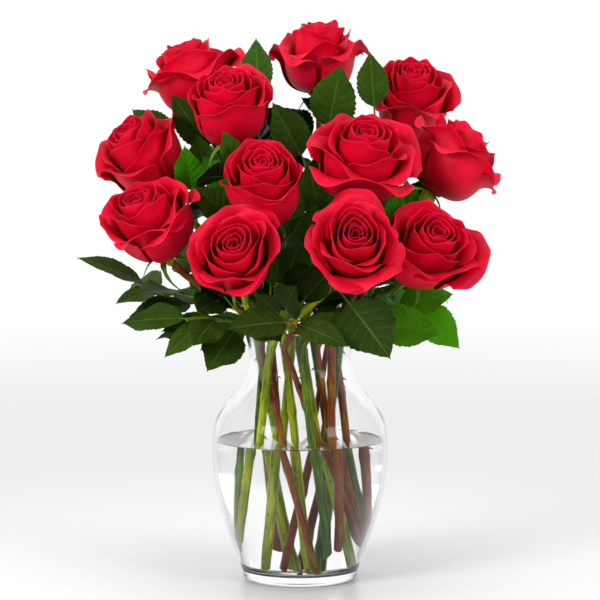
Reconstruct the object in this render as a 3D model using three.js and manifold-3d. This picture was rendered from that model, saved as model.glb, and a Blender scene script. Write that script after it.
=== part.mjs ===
// A dozen red roses with salal greenery, standing in a clear glass ginger-jar vase part-filled with water.
// Millimetres. +Z is up, +X is to the viewer's right and -Y is towards the viewer.
// The origin is the centre of the vase's flat underside.
import * as THREE from "three";
import { mergeVertices } from "three/addons/utils/BufferGeometryUtils.js";
import Module from "manifold-3d";

const wasm = await Module();
wasm.setup();
const { Manifold, Mesh } = wasm;

// The vase: outer radius at each height, from the rounded heel to the flared lip.
const VASE_OUTLINE = [
  [42, 0], [46, 5], [54, 27], [63, 53], [69, 82], [70.4, 106], [67.5, 129],
  [57, 145], [44.5, 162], [41, 179], [44.5, 200],
];
const VASE_WALL = 3;
const VASE_FLOOR = 8;
const VASE_SIDES = 24;
const WATER_LEVEL = 112;
const GAP = 0.35; // clearance between pieces that touch on the real object

// The stems stand in two rings at the neck. Below it they run straight and cross on the way: each stands
// on the first place of the floor, or by the wall, from which it keeps clear of the stems already there.
const NECK_HEIGHT = 186;
const OUTER = { radius: 33, slots: 16, start: -0.75 };
const INNER = { radius: 13, slots: 4.5, start: 2.1 };
const FOOT_REACH = 46;
const FLOOR_REACH = 35; // a foot further out than this rests higher, by the wall
const FOOT_STEP = 4;
const FOOT_RISE = 1.7;
const FOOT_TRIES = 600;
const MOST_LEAN = 1.6; // radians round the vase from the neck to the foot
const LEAST_LEAN = 0.1;
const STEM_GAP = 1.2;
const STEM_SIDES = 5;
const HIP_RADIUS = 5.5;

// The twelve roses: centre of the head, the way it faces, its size and how far it has opened.
// Each stands in a slot of the outer ring unless it names the inner one.
const ROSES = [
  { head: [-90, 75, 406], face: [-0.28, -0.1, 0.95], size: 1.0, open: 0.95, slot: 5, turn: 0.4 },
  { head: [-56, 0, 379], face: [-0.06, -0.55, 0.84], size: 0.98, open: 0.45, ring: INNER, slot: 0, turn: 1.1 },
  { head: [16, 72, 421], face: [0.0, -0.1, 1.0], size: 1.02, open: 1.0, slot: 3, turn: 2.0 },
  { head: [92.5, 62, 386], face: [0.1, -0.5, 0.86], size: 1.04, open: 0.7, slot: 1, turn: 3.1 },
  { head: [49, -45, 338], face: [0.22, -0.6, 0.76], size: 1.1, open: 1, ring: INNER, slot: 2, turn: 0.9 },
  { head: [123, 8, 337], face: [0.58, 0.08, 0.8], size: 1.02, open: 0.8, slot: 0, turn: 5.1 },
  { head: [-127, 22, 339], face: [-0.5, -0.38, 0.78], size: 1.06, open: 0.6, slot: 6, turn: 2.4 },
  { head: [-28, -50, 319], face: [-0.1, -0.66, 0.74], size: 1, open: 0.4, ring: INNER, slot: 1, turn: 4.2 },
  { head: [-118, -38, 289], face: [-0.36, -0.52, 0.78], size: 1.02, open: 0.75, slot: 8, turn: 5.6 },
  { head: [-49, -92, 265], face: [-0.08, -0.84, 0.54], size: 0.99, open: 0.75, slot: 10, turn: 1.7 },
  { head: [41, -98, 274], face: [0.02, -0.86, 0.5], size: 0.98, open: 1.0, slot: 12, turn: 3.8 },
  { head: [98.5, -60, 268], face: [0.26, -0.74, 0.6], size: 1.02, open: 0.85, slot: 14, turn: 0.2 },
];
const ROSE_STEM_RADIUS = 3.2;
const SEPAL_REACH = 22;
const SEPAL_DROP = 10;

// The salal sprigs that collar the bouquet: where each one ends and the way its end points.
const SPRIGS = [
  { end: [-118, 8, 234], face: [-0.95, 0.0, 0.1], slot: 7 },
  { end: [-88, -60, 214], face: [-0.75, -0.6, -0.1], slot: 9 },
  { end: [-4, -86, 214], face: [-0.1, -0.95, 0.0], slot: 11 },
  { end: [62, -70, 216], face: [0.6, -0.75, -0.1], slot: 13 },
  { end: [98, -18, 228], face: [0.9, -0.2, 0.3], slot: 15 },
  { end: [84, 84, 262], face: [0.6, 0.6, 0.4], slot: 2 },
  { end: [-34, 98, 258], face: [-0.3, 0.85, 0.4], slot: 4 },
];
const SPRIG_RADIUS = 2.4;
const SPRIG_LEAVES = 4;
const SPRIG_LEAF = { length: 54, width: 32, teeth: 2 };

// Leaves that show in plain places: the plant, the place on its stem (0 at the neck, 1 at its end),
// the blade's tip, length and width, and the way its upper face looks.
const TO_FRONT = [0, -1, 0.35];
const PLACED_LEAVES = [
  { rose: 11, at: 0.7, tip: [70, -84, 180], length: 62, width: 46, look: TO_FRONT },
  { sprig: 5, at: 0.75, tip: [116, -32, 236], length: 46, width: 28, look: [0.3, -0.8, 0.5] },
  { rose: 3, at: 0.72, tip: [32, 0, 412], length: 64, width: 38, look: TO_FRONT },
  { rose: 4, at: 0.6, tip: [56, 10, 428], length: 48, width: 26, look: TO_FRONT },
  { rose: 2, at: 0.55, tip: [-40, 44, 440], length: 52, width: 26, look: TO_FRONT },
  { rose: 3, at: 0.6, tip: [-15, 20, 388], length: 54, width: 32, look: TO_FRONT },
  { rose: 1, at: 0.6, tip: [-134, 55, 386], length: 54, width: 32, look: TO_FRONT },
  { rose: 7, at: 0.75, tip: [-103, -14, 350], length: 48, width: 24, look: TO_FRONT },
  { rose: 2, at: 0.6, tip: [-50, -36, 366], length: 44, width: 20, look: TO_FRONT },
  { rose: 6, at: 0.62, tip: [92, -10, 318], length: 52, width: 30, look: TO_FRONT },
  { rose: 5, at: 0.5, tip: [12, -62, 304], length: 50, width: 28, look: TO_FRONT },
  { rose: 2, at: 0.4, tip: [-80, -50, 312], length: 50, width: 28, look: TO_FRONT },
  { rose: 8, at: 0.35, tip: [-2, -56, 272], length: 52, width: 34, look: TO_FRONT },
  { rose: 8, at: 0.2, tip: [-14, -84, 244], length: 52, width: 30, look: TO_FRONT },
  { sprig: 1, at: 1.0, tip: [-176, -22, 266], length: 62, width: 27, look: [-0.2, -0.5, 0.8] },
  { sprig: 1, at: 0.8, tip: [-124, -46, 246], length: 54, width: 30, look: [-0.3, -0.8, 0.5] },
  { sprig: 1, at: 0.62, tip: [-137, -36, 220], length: 62, width: 34, look: [-0.3, -0.6, 0.7] },
  { sprig: 2, at: 0.65, tip: [-110, -48, 206], length: 46, width: 20, look: [-0.4, -0.8, 0.4] },
  { sprig: 2, at: 0.7, tip: [-80, -70, 198], length: 48, width: 28, look: TO_FRONT },
  { sprig: 2, at: 0.5, tip: [-13, -96, 202], length: 50, width: 28, look: [0, -0.7, 0.7] },
  { sprig: 3, at: 0.8, tip: [38, -96, 196], length: 52, width: 24, look: [0, -0.7, 0.7] },
  { sprig: 5, at: 0.5, tip: [114, -36, 202], length: 56, width: 34, look: TO_FRONT },
];

// Foliage that fills the bouquet all round: leaf tips spread evenly over a shell round the stems.
const FILL = { tips: 70, middle: [0, 8, 292], reach: [108, 92, 100], top: 0.96, bottom: -0.7 };
const FILL_LEAF = { length: 58, width: 35, teeth: 2 };
const STALK = 14;

const PETALS = 7;
const OUTER_PETALS = 5;
const GOLDEN_ANGLE = 2.39996;
const PETAL_ROOT = 0.04;
const PETAL_THICKNESS = 0.8;
const BLADE_THICKNESS = 0.6;
const STALK_WIDTH = 1.8;
const BEND = 0.1;

// Clearances kept by the rule that finds a leaf its place.
const SAMPLE_STEP = 5;
const CLEAR_OF_BLADES = 5.5;
const CLEAR_OF_STEMS = 6;
const CLEAR_OF_BLOOMS = 2.5;
const CLEAR_OF_GLASS = 3;
const TRIES = 40;
const TRY_STEP = 3.2;

const COLOURS = {
  glass: { color: 0xf2f7f7, roughness: 0.03, metalness: 0, transparent: true, opacity: 0.3 },
  water: { color: 0xe9f3f2, roughness: 0.02, metalness: 0, transparent: true, opacity: 0.35 },
  petal: { color: 0xc40a1c, roughness: 0.55, metalness: 0 },
  rose_green: { color: 0x2f5a1c, roughness: 0.5, metalness: 0 },
  salal_green: { color: 0x274a1b, roughness: 0.4, metalness: 0 },
};

const vec = (a) => new THREE.Vector3(...a);
const polar = (radius, angle, z) => new THREE.Vector3(radius * Math.cos(angle), radius * Math.sin(angle), z);
const mix = THREE.MathUtils.lerp;
const smooth = (x, low, high) => THREE.MathUtils.smoothstep(x, low, high);

// Solids

function solidFromArrays(positions, triangles) {
  const sound = [];
  for (let i = 0; i < triangles.length; i += 3) {
    const [a, b, c] = triangles.slice(i, i + 3);
    if (a !== b && b !== c && a !== c) sound.push(a, b, c);
  }
  const vertProperties = new Float32Array(positions);
  const made = new Manifold(new Mesh({ numProp: 3, vertProperties, triVerts: new Uint32Array(sound) }));
  if (made.volume() > 0) return made;
  const turned = [];
  for (let i = 0; i < sound.length; i += 3) turned.push(sound[i], sound[i + 2], sound[i + 1]);
  return new Manifold(new Mesh({ numProp: 3, vertProperties, triVerts: new Uint32Array(turned) }));
}

function lathe(profile, sides) {
  const geometry = new THREE.LatheGeometry(profile.map(([r, z]) => new THREE.Vector2(r, z)), sides);
  geometry.rotateX(Math.PI / 2);
  geometry.deleteAttribute("normal");
  geometry.deleteAttribute("uv");
  const merged = mergeVertices(geometry, 1e-3);
  return solidFromArrays(Array.from(merged.attributes.position.array), Array.from(merged.index.array));
}

function geometryOf(solid) {
  const mesh = solid.getMesh();
  const geometry = new THREE.BufferGeometry();
  geometry.setAttribute("position", new THREE.BufferAttribute(mesh.vertProperties, 3));
  geometry.setIndex(new THREE.BufferAttribute(mesh.triVerts, 1));
  return geometry;
}

// A closed tube of rings along a list of points, its frame carried along without twist.
function tube(points, radiusAt, sides) {
  const positions = [];
  const triangles = [];
  let across = null;
  points.forEach((point, i) => {
    const before = points[Math.max(0, i - 1)];
    const after = points[Math.min(points.length - 1, i + 1)];
    const along = after.clone().sub(before).normalize();
    if (!across) across = Math.abs(along.z) < 0.9 ? new THREE.Vector3(0, 0, 1) : new THREE.Vector3(1, 0, 0);
    across = across.clone().addScaledVector(along, -across.dot(along)).normalize();
    const other = along.clone().cross(across);
    const radius = radiusAt(i / (points.length - 1));
    for (let k = 0; k < sides; k++) {
      const angle = (2 * Math.PI * k) / sides;
      const p = point.clone()
        .addScaledVector(across, radius * Math.cos(angle))
        .addScaledVector(other, radius * Math.sin(angle));
      positions.push(p.x, p.y, p.z);
    }
  });
  for (let i = 0; i < points.length - 1; i++)
    for (let k = 0; k < sides; k++) {
      const a = i * sides + k;
      const b = i * sides + ((k + 1) % sides);
      triangles.push(a, b, b + sides, a, b + sides, a + sides);
    }
  const last = (points.length - 1) * sides;
  for (let k = 1; k < sides - 1; k++) triangles.push(0, k + 1, k, last, last + k, last + k + 1);
  return solidFromArrays(positions, triangles);
}

// The two faces of a thin blade, set off half its thickness each way from its middle surface.
function faces(pointAt, places, thicknessAt) {
  const step = 1e-3;
  const both = [[], []];
  for (const [a, b] of places) {
    const middle = pointAt(a, b);
    const alongA = pointAt(a + step, b).sub(pointAt(a - step, b));
    const alongB = pointAt(a, b + step).sub(pointAt(a, b - step));
    const normal = alongA.cross(alongB).normalize();
    both.forEach((face, side) => {
      const p = middle.clone().addScaledVector(normal, (side ? -0.5 : 0.5) * thicknessAt(a));
      face.push(p.x, p.y, p.z);
    });
  }
  return [...both[0], ...both[1]];
}

// Closes a blade: the same triangles on both faces, and a wall round its outline.
function closeBlade(positions, triangles, outline) {
  const far = positions.length / 6;
  const all = [...triangles];
  for (let i = 0; i < triangles.length; i += 3)
    all.push(triangles[i] + far, triangles[i + 2] + far, triangles[i + 1] + far);
  outline.forEach((a, i) => {
    const b = outline[(i + 1) % outline.length];
    all.push(a, a + far, b + far, a, b + far, b);
  });
  return solidFromArrays(positions, all);
}

// Blooms

// The outline that no petal or sepal leaves: radius at height h of a bloom, both in its own frame.
function bloomReach(rose, h) {
  const x = h / rose.size;
  if (x < 0) return SEPAL_REACH + 2;
  const cup = 9 + 22 * Math.sqrt(THREE.MathUtils.clamp(x / 16, 0, 1));
  return rose.size * (cup + (3 + 9 * rose.open) * smooth(x, 22, 40));
}

// A point on a petal's middle surface. Petal 0 is the outermost.
// u runs across it from edge to edge and v from its root to its rim.
function petalPoint(rose, petal, u, v) {
  const f = 1 - petal / PETALS;
  const belly = mix(6, 28.5, Math.pow(f, 0.9));
  const flare = rose.open * smooth(f, 0.45, 1);
  const rim = belly * mix(0.5, 1.0, smooth(f, 0, 0.6)) + 5 * flare;
  const height = mix(64, 59, f) - 11 * flare;
  const profile = new THREE.CubicBezierCurve(
    new THREE.Vector2(7, mix(19, 1.6, f)),
    new THREE.Vector2(belly * 1.15, mix(19, 0.8, f)),
    new THREE.Vector2(belly * 1.12, 0.62 * height),
    new THREE.Vector2(rim, height),
  );
  const corner = 0.05 * u * u + 0.11 * Math.abs(u) ** 3;
  const at = profile.getPoint(THREE.MathUtils.clamp(v * (1 - corner), 0, 1));
  const reach = mix(1.5, 1.08, f) * mix(0.4, 1, Math.sin(0.5 * Math.PI * Math.min(1, v / 0.6)));
  const curl = Math.max(0, (v - 0.66) / 0.34);
  const roll = flare * (5 + 3 * u * u);
  const overlap = (4.2 / PETALS) * u * reach * smooth(v, 0, 0.4);
  const radius = at.x + roll * curl ** 2 + overlap;
  const up = at.y - roll * curl ** 3;
  const angle = rose.turn - petal * GOLDEN_ANGLE + u * reach;
  return polar(radius, angle, up).multiplyScalar(rose.size);
}

function petalBlade(rose, petal) {
  const [columns, rows] = petal < OUTER_PETALS ? [4, 3] : [3, 2];
  const places = [[-1, PETAL_ROOT], [1, PETAL_ROOT]];
  for (let j = 1; j <= rows; j++) {
    const v = mix(PETAL_ROOT, 1, (j / rows) ** 0.85);
    for (let i = 0; i <= columns; i++) places.push([-1 + (2 * i) / columns, v]);
  }
  const index = (i, j) => 2 + (j - 1) * (columns + 1) + i;
  const half = Math.floor(columns / 2);
  const triangles = [0, 1, index(half, 1)];
  for (let i = 0; i < columns; i++) triangles.push(i < half ? 0 : 1, index(i + 1, 1), index(i, 1));
  for (let j = 1; j < rows; j++)
    for (let i = 0; i < columns; i++) {
      const [a, b, c, d] = [index(i, j), index(i + 1, j), index(i + 1, j + 1), index(i, j + 1)];
      triangles.push(a, b, c, a, c, d);
    }
  const outline = [0, 1];
  for (let j = 1; j < rows; j++) outline.push(index(columns, j));
  for (let i = columns; i >= 0; i--) outline.push(index(i, rows));
  for (let j = rows - 1; j > 0; j--) outline.push(index(0, j));
  const positions = faces((u, v) => petalPoint(rose, petal, u, v), places, () => PETAL_THICKNESS);
  return closeBlade(positions, triangles, outline);
}

function bloomSolid(rose) {
  const core = lathe([[0, 0], [9, 0], [12, 4], [12, 20], [0, 54]], 6).scale(rose.size);
  const pieces = [core];
  for (let petal = 0; petal < PETALS; petal++) pieces.push(petalBlade(rose, petal));
  return Manifold.union(pieces);
}

// Where a bloom sits: its receptacle is half a head below the head's centre, along the way it faces.
const HALF_HEAD = 31;
function receptacle(rose) {
  return vec(rose.head).addScaledVector(vec(rose.face).normalize(), -HALF_HEAD * rose.size);
}

function placeBloom(mesh, rose) {
  mesh.position.copy(receptacle(rose));
  mesh.quaternion.setFromUnitVectors(new THREE.Vector3(0, 0, 1), vec(rose.face).normalize());
}

// Stems

// A plant's path above the neck: it leaves as it came up the vase and arrives the way its end faces.
function upperPoint(plant, t) {
  const { foot, neck } = plant;
  const reach = plant.tip.distanceTo(neck);
  const leave = neck.clone().sub(foot).normalize().multiplyScalar(reach * 0.7);
  const arrive = plant.face.clone().multiplyScalar(reach * 0.9);
  const t2 = t * t;
  const t3 = t2 * t;
  return neck.clone()
    .multiplyScalar(2 * t3 - 3 * t2 + 1)
    .addScaledVector(leave, t3 - 2 * t2 + t)
    .addScaledVector(plant.tip, 3 * t2 - 2 * t3)
    .addScaledVector(arrive, t3 - t2);
}

function stemPoints(plant) {
  const share = (GAP + 1) / (NECK_HEIGHT - VASE_FLOOR);
  const points = [plant.foot.clone().lerp(plant.neck, share)];
  const steps = plant.kind === "rose" ? 6 : 5;
  for (let i = 0; i <= steps; i++) points.push(upperPoint(plant, i / steps));
  return points;
}

function segmentDistance(p, a, b) {
  const ab = b.clone().sub(a);
  const t = THREE.MathUtils.clamp(p.clone().sub(a).dot(ab) / ab.lengthSq(), 0, 1);
  return p.distanceTo(ab.multiplyScalar(t).add(a));
}

// The narrowest gap between a plant's stem and the glass or the stems that already stand.
function narrowestGap(plant, standing) {
  let least = Infinity;
  plant.points.slice(1).forEach((end, i) => {
    const start = plant.points[i];
    for (let share = 0; share < 1; share += i ? 1 / 8 : 1 / 48) {
      const p = start.clone().lerp(end, share);
      const inside = p.z < 202 ? glassRadius(p.z) - VASE_WALL - Math.hypot(p.x, p.y) : Infinity;
      least = Math.min(least, inside - plant.radius);
      for (const { points, radius } of standing)
        for (let j = 1; j < points.length; j++)
          least = Math.min(least, segmentDistance(p, points[j - 1], points[j]) - radius - plant.radius);
    }
  });
  return least;
}

// Finds a stem's foot, from the steepest lean down, one way round the vase and the other in turn.
function standStem(plant, order, standing) {
  const { radius, slots, start } = plant.ring ?? OUTER;
  const angle = (plant.slot / slots) * 2 * Math.PI + start;
  plant.neck = polar(radius, angle, NECK_HEIGHT);
  let widest = { gap: -Infinity };
  for (let k = 0; k < FOOT_TRIES && widest.gap < STEM_GAP; k++) {
    const lean = mix(MOST_LEAN, LEAST_LEAN, k / FOOT_TRIES) * ((order + k) % 2 ? 1 : -1);
    const away = FOOT_REACH * (1 - 0.7 * ((k * 0.56984) % 1));
    const rise = away > FLOOR_REACH ? FOOT_STEP + FOOT_RISE * (away - FLOOR_REACH) : 0;
    plant.foot = polar(away, angle + lean, VASE_FLOOR + rise);
    plant.points = stemPoints(plant);
    const gap = narrowestGap(plant, standing);
    if (gap > widest.gap) widest = { gap, points: plant.points, foot: plant.foot };
  }
  plant.foot = widest.foot;
  plant.points = widest.points;
  standing.push(plant);
}

// Leaves

// A blade's half-width along its length, as a share of its greatest.
function leafShape(s) {
  return Math.pow(Math.sin(Math.PI * Math.pow(Math.min(1, Math.max(0, s)), 0.78)), 0.85);
}

// A point on a leaf's middle surface: s from base to tip, t from edge to edge. Its stalk runs at s below 0.
function leafPoint(leaf, s, t) {
  const half = Math.max(0.5 * STALK_WIDTH, 0.5 * leaf.width * leafShape(s));
  const on = Math.max(0, s);
  const cup = 0.16 * Math.abs(t) * half + 0.03 * leaf.width * Math.sin(7 * on) * t * t;
  const rise = cup * smooth(on, 0, 0.1);
  return leaf.base.clone()
    .addScaledVector(leaf.along, leaf.length * (s - 0.5 * leaf.bend * on * on))
    .addScaledVector(leaf.across, t * half)
    .addScaledVector(leaf.up, rise - leaf.bend * leaf.length * on * on);
}

// A leaf that grows from root. Where no look is given, its upper face turns up and outwards.
function shapeLeaf(root, way, stalk, wanted, scale) {
  const along = way.clone().normalize();
  const base = root.clone().addScaledVector(along, stalk);
  const outwards = new THREE.Vector3(base.x, base.y, 0).normalize().setZ(0.9);
  const light = wanted.look ? vec(wanted.look) : outwards;
  const up = light.addScaledVector(along, -light.dot(along)).normalize();
  const across = up.clone().cross(along);
  const [length, width] = [wanted.length * scale, wanted.width * scale];
  return { base, along, up, across, stalk, length, width, bend: BEND, teeth: wanted.teeth };
}

// One half of a leaf's edge, from base to tip: place along the blade and reach, its teeth pointing forward.
function toothedEdge(teeth) {
  const edge = [];
  for (let i = 0; i < teeth; i++) {
    const s = 0.1 + (0.8 * i) / teeth;
    edge.push([s, 0.93], [s + 0.62 / teeth, 1.09]);
  }
  return edge;
}

function leafBlade(leaf) {
  const edge = toothedEdge(leaf.teeth);
  const root = -leaf.stalk / leaf.length;
  const side = (sign) => [[root, sign], [0, sign], ...edge.map(([s, reach]) => [s, sign * reach])];
  const places = [...side(-1), ...side(1), [0.3, 0], [0.65, 0], [1, 0]];
  const border = edge.length + 2;
  const rib = 2 * border;
  const tip = rib + 2;
  const triangles = [0, border, border + 1, 0, border + 1, 1, 1, border + 1, rib];
  for (const first of [0, border]) {
    let [i, r] = [first + 1, rib];
    const last = first + border - 1;
    while (i < last || r < tip) {
      const upRib = i === last || (r < tip && places[r + 1][0] < places[i + 1][0]);
      const next = upRib ? r + 1 : i + 1;
      triangles.push(...(first ? [r, i, next] : [i, r, next]));
      if (upRib) r++;
      else i++;
    }
  }
  const up = Array.from({ length: border }, (_, i) => border + i);
  const down = Array.from({ length: border - 1 }, (_, i) => border - 1 - i);
  const thicknessAt = (s) => (s > 0 ? BLADE_THICKNESS : STALK_WIDTH);
  const positions = faces((s, t) => leafPoint(leaf, s, t), places, thicknessAt);
  return closeBlade(positions, triangles, [0, ...up, tip, ...down]);
}

// Points spread over a blade, close enough together that nothing passes between them.
function bladeSamples(leaf) {
  const samples = [];
  const rows = Math.ceil(leaf.length / SAMPLE_STEP);
  for (let i = 0; i <= rows; i++) {
    const s = i / rows;
    const columns = Math.max(1, Math.ceil((leaf.width * leafShape(s)) / SAMPLE_STEP));
    for (let j = 0; j <= columns; j++) samples.push(leafPoint(leaf, s, -1.05 + (2.1 * j) / columns));
  }
  return samples;
}

function glassRadius(z) {
  const above = VASE_OUTLINE.findIndex(([, height]) => height > z);
  if (above < 0) return VASE_OUTLINE.at(-1)[0];
  const [r0, z0] = VASE_OUTLINE[Math.max(0, above - 1)];
  const [r1, z1] = VASE_OUTLINE[Math.max(1, above)];
  return mix(r0, r1, (z - z0) / (z1 - z0));
}

const grown = []; // sample points of every leaf placed so far

function isClear(samples, plant) {
  for (const p of samples) {
    const low = p.z - CLEAR_OF_GLASS;
    if (low < 200 && Math.hypot(p.x, p.y) < glassRadius(low) + CLEAR_OF_GLASS + 2) return false;
    for (const rose of ROSES) {
      const offset = p.clone().sub(rose.tip);
      const h = offset.dot(rose.face);
      if (h < -SEPAL_DROP - 4 || h > 68 * rose.size) continue;
      const r = Math.sqrt(Math.max(0, offset.lengthSq() - h * h));
      if (r < bloomReach(rose, h) + CLEAR_OF_BLOOMS) return false;
    }
    for (const other of PLANTS) {
      if (other === plant) continue;
      for (let i = 1; i < other.points.length; i++)
        if (segmentDistance(p, other.points[i - 1], other.points[i]) < CLEAR_OF_STEMS) return false;
    }
    for (const q of grown)
      if (p.distanceToSquared(q) < CLEAR_OF_BLADES * CLEAR_OF_BLADES) return false;
  }
  return true;
}

// The blades of one leaf whose end blade reaches tip. Three or five leaflets share one stalk.
function leafParts(from, tip, wanted, leaflets) {
  const way = tip.clone().sub(from);
  const stalk = Math.max(6, way.length() - wanted.length);
  const end = shapeLeaf(from, way, stalk, wanted, 1);
  const blades = [end];
  for (let pair = 0; pair < (leaflets - 1) / 2; pair++)
    for (const side of [-1, 1]) {
      const root = from.clone().lerp(end.base, 0.86 - 0.42 * pair);
      const aside = end.along.clone().multiplyScalar(0.45).addScaledVector(end.across, side);
      blades.push(shapeLeaf(root, aside, 3, wanted, 0.8));
    }
  const samples = blades.flatMap(bladeSamples);
  for (let s = 8; s < stalk; s += SAMPLE_STEP) samples.push(from.clone().addScaledVector(end.along, s));
  return { blades, samples };
}

// Tries the wanted place, then places round it in a widening spiral, then a smaller leaf or fewer leaflets.
function growLeaf(plant, wanted) {
  const from = upperPoint(plant, wanted.at);
  for (const leaflets of wanted.leaflets > 1 ? [wanted.leaflets, 3, 1] : [1])
    for (const scale of [1, 0.85, 0.7]) {
      const sized = { ...wanted, length: wanted.length * scale, width: wanted.width * scale };
      const along = wanted.tip.clone().sub(from).normalize();
      const side = new THREE.Vector3(0, 1, 0).addScaledVector(along, -along.y).normalize();
      const other = along.clone().cross(side);
      for (let k = 0; k < TRIES; k++) {
        const shift = TRY_STEP * Math.sqrt(k);
        const tip = wanted.tip.clone()
          .addScaledVector(side, shift * Math.cos(k * GOLDEN_ANGLE))
          .addScaledVector(other, shift * Math.sin(k * GOLDEN_ANGLE));
        const parts = leafParts(from, tip, sized, leaflets);
        if (!isClear(parts.samples, plant)) continue;
        grown.push(...parts.samples);
        plant.leaves.push(parts);
        return;
      }
    }
}

// Plants

function makePlants() {
  const roses = ROSES.map((rose, i) => {
    const tip = receptacle(rose);
    rose.face = vec(rose.face).normalize();
    rose.tip = tip;
    const name = `rose_stem_${String(i + 1).padStart(2, "0")}`;
    return Object.assign(rose, { kind: "rose", name, radius: ROSE_STEM_RADIUS, leaves: [] });
  });
  const sprigs = SPRIGS.map((sprig, i) => ({
    kind: "sprig", name: `salal_sprig_${i + 1}`, slot: sprig.slot, radius: SPRIG_RADIUS,
    face: vec(sprig.face).normalize(), tip: vec(sprig.end), leaves: [],
  }));
  const plants = [...roses, ...sprigs];
  const standing = [];
  [...sprigs, ...roses].forEach((plant, order) => standStem(plant, order, standing));
  return plants;
}

const PLANTS = makePlants();

function growPlacedLeaves() {
  for (const leaf of PLACED_LEAVES) {
    const plant = leaf.rose ? PLANTS[leaf.rose - 1] : PLANTS[ROSES.length + leaf.sprig - 1];
    growLeaf(plant, { ...leaf, tip: vec(leaf.tip), teeth: 2, leaflets: 1 });
  }
}

// Alternate leaves along a salal sprig, each turned to its own side of it.
function growSprigLeaves(plant) {
  for (let i = 0; i < SPRIG_LEAVES; i++) {
    const at = 0.92 - 0.17 * i;
    const from = upperPoint(plant, at);
    const along = upperPoint(plant, at + 0.05).sub(from).normalize();
    const aside = new THREE.Vector3(0, 0, i % 2 ? 1 : -1).cross(along).normalize();
    const way = along.multiplyScalar(0.6).add(aside).normalize();
    growLeaf(plant, { ...SPRIG_LEAF, at, tip: from.addScaledVector(way, SPRIG_LEAF.length + 8), leaflets: 1 });
  }
}

// The plant and the place on it from which a leaf of this length best reaches this tip.
function carrierOf(tip, length) {
  let best = { cost: Infinity };
  for (const plant of PLANTS)
    for (let at = 0.2; at < 0.95; at += 0.1) {
      const from = upperPoint(plant, at);
      const way = tip.clone().sub(from);
      const growth = upperPoint(plant, at + 0.05).sub(from).normalize();
      const off = Math.abs(way.length() - length - STALK);
      const cost = off + 25 * Math.max(0, 0.2 - growth.dot(way.normalize()));
      if (cost < best.cost) best = { cost, plant, at };
    }
  return best;
}

// Fills the bouquet from the outside in. Roses carry three leaflets on a stalk, salal one broad leaf.
function growFill() {
  for (let i = 0; i < FILL.tips; i++) {
    const height = mix(FILL.top, FILL.bottom, (i + 0.5) / FILL.tips);
    const flat = Math.sqrt(1 - height * height);
    const tip = polar(flat, i * GOLDEN_ANGLE, height).multiply(vec(FILL.reach)).add(vec(FILL.middle));
    const { plant, at } = carrierOf(tip, FILL_LEAF.length);
    const leaflets = plant.kind === "rose" && i % 3 === 0 ? 3 : 1;
    growLeaf(plant, { ...FILL_LEAF, at, tip, leaflets });
  }
}

function growAllLeaves() {
  growPlacedLeaves();
  PLANTS.filter((plant) => plant.kind === "sprig").forEach(growSprigLeaves);
  growFill();
}

// The five sepals under a bloom, folded back as one star round the hip.
function calyx(rose) {
  const turn = new THREE.Quaternion().setFromUnitVectors(new THREE.Vector3(0, 0, 1), rose.face);
  const star = [[0, -3]];
  for (let i = 0; i < 5; i++) star.push([SEPAL_REACH, -SEPAL_DROP], [6.6, -3]);
  const positions = [0.5, -0.5].flatMap((lift) =>
    star.flatMap(([radius, h], i) => {
      const angle = rose.turn + (i * Math.PI) / 5;
      const p = new THREE.Vector3(radius * Math.cos(angle), radius * Math.sin(angle), h + lift);
      return p.applyQuaternion(turn).add(rose.tip).toArray();
    }),
  );
  const outline = Array.from({ length: 10 }, (_, i) => i + 1);
  return closeBlade(positions, outline.flatMap((i) => [0, i, (i % 10) + 1]), outline);
}

// A rose's stem swells into the hip just under its bloom.
function roseStem(rose) {
  const hip = [[-11, ROSE_STEM_RADIUS], [-6, HIP_RADIUS], [-GAP, HIP_RADIUS]];
  const below = rose.points.slice(0, -1);
  const points = [...below, ...hip.map(([h]) => rose.tip.clone().addScaledVector(rose.face, h))];
  const radiusAt = (t) => {
    const i = Math.round(t * (points.length - 1)) - below.length;
    return i < 0 ? ROSE_STEM_RADIUS : hip[i][1];
  };
  return tube(points, radiusAt, STEM_SIDES);
}

function plantSolid(plant) {
  const pieces = plant.leaves.flatMap((leaf) => leaf.blades.map(leafBlade));
  if (plant.kind === "rose") pieces.push(roseStem(plant), calyx(plant));
  else pieces.push(tube(plant.points, (t) => mix(SPRIG_RADIUS, 1.5, t * t), STEM_SIDES));
  return Manifold.union(pieces);
}

// Vase and water

function insideProfile(inset) {
  return VASE_OUTLINE.filter(([, z]) => z > VASE_FLOOR + 4).map(([r, z]) => [r - VASE_WALL - inset, z]);
}

function vaseSolid() {
  const inside = insideProfile(0);
  const floor = [[40, VASE_FLOOR], [0, VASE_FLOOR]];
  const lip = [[43.2, 201.5]];
  return lathe([[0, 0], ...VASE_OUTLINE, ...lip, ...inside.reverse(), ...floor], VASE_SIDES);
}

function waterSolid() {
  const inside = insideProfile(GAP);
  const below = inside.filter(([, z]) => z < WATER_LEVEL);
  const top = glassRadius(WATER_LEVEL) - VASE_WALL - GAP - 0.2;
  const floor = VASE_FLOOR + GAP;
  const surface = [[top, WATER_LEVEL], [0, WATER_LEVEL]];
  const body = lathe([[0, floor], [39.5, floor], ...below, ...surface], VASE_SIDES);
  const holes = PLANTS.map((plant) => {
    const radius = plant.radius + GAP + 0.1;
    const low = plant.foot.z > VASE_FLOOR ? 0 : -0.02;
    const points = [low, 1.02].map((share) => plant.foot.clone().lerp(plant.neck, share));
    return tube(points, () => radius, STEM_SIDES);
  });
  return body.subtract(Manifold.union(holes));
}

// The object

const bouquet = new THREE.Group();

function add(name, solid, look) {
  const mesh = new THREE.Mesh(geometryOf(solid), new THREE.MeshStandardMaterial(COLOURS[look]));
  mesh.name = name;
  bouquet.add(mesh);
  return mesh;
}

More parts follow.
